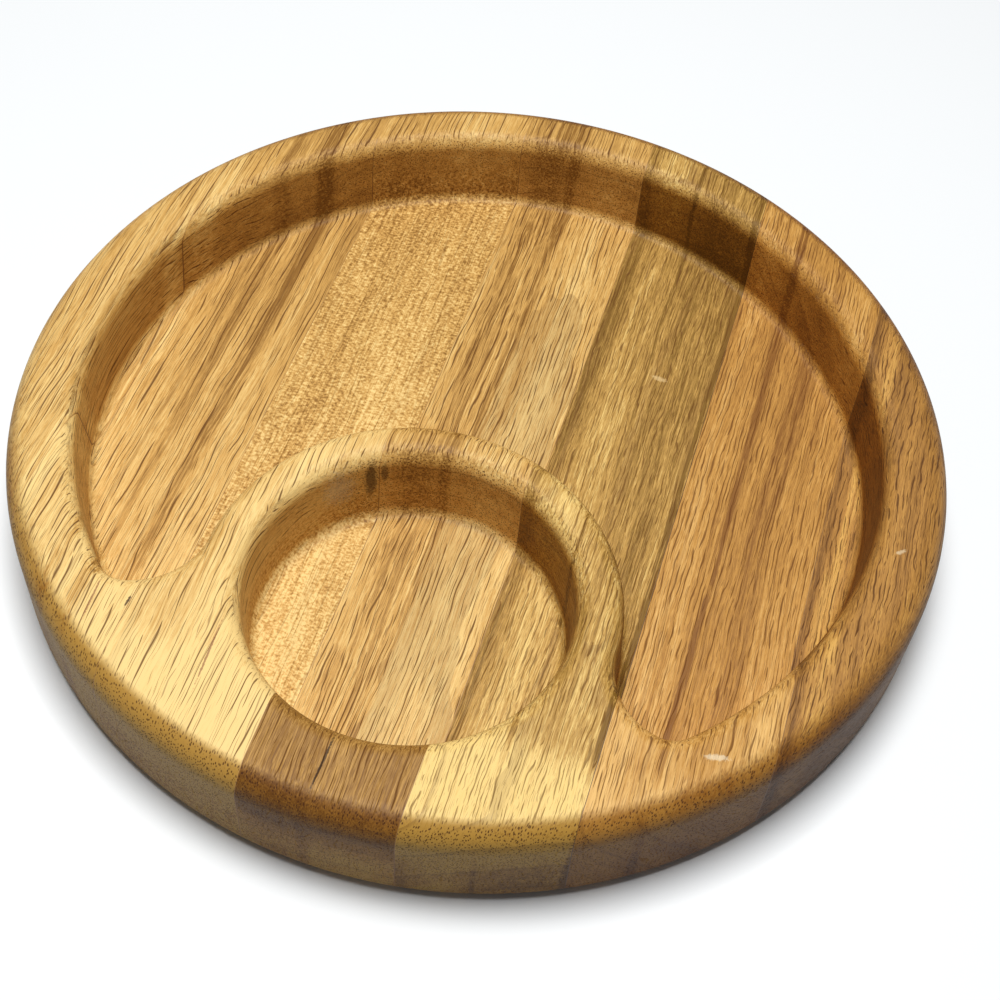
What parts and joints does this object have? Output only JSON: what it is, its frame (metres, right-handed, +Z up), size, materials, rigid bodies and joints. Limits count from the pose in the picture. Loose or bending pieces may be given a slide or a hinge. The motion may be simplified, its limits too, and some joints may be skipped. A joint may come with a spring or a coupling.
{
  "type": "chip and dip server",
  "caption": "Round edge-glued hardwood serving board with a crescent-shaped chip well wrapped around a round dip well, and rounded edges.",
  "frame": {"origin": "centre of the round underside, on the surface that the server rests on", "axes": "+Z up out of the wells, Y along the grain and the glue lines with the dip well towards -Y, +X across the grain"},
  "size_m": [0.305, 0.305, 0.038],
  "materials": {
    "left_edge_wood": "satin oiled, streaked tan gold",
    "left_outer_wood": "satin oiled, tan gold with dark streaks",
    "left_inner_wood": "satin oiled, pale gold with a curly figure",
    "centre_wood": "satin oiled, pale gold with brown streaks",
    "right_inner_wood": "satin oiled, olive brown",
    "right_outer_wood": "satin oiled, orange tan",
    "right_edge_wood": "satin oiled, yellow tan",
    "wood_glue": "cured wood glue, thin dark line"
  },
  "bodies": {
    "root": {"left_edge_stave": "left_edge_wood", "left_outer_stave": "left_outer_wood", "left_inner_stave": "left_inner_wood", "centre_stave": "centre_wood", "right_inner_stave": "right_inner_wood", "right_outer_stave": "right_outer_wood", "right_edge_stave": "right_edge_wood", "left_edge_glue_line": "wood_glue", "left_outer_glue_line": "wood_glue", "left_inner_glue_line": "wood_glue", "right_inner_glue_line": "wood_glue", "right_outer_glue_line": "wood_glue", "right_edge_glue_line": "wood_glue"}
  },
  "joints": []
}
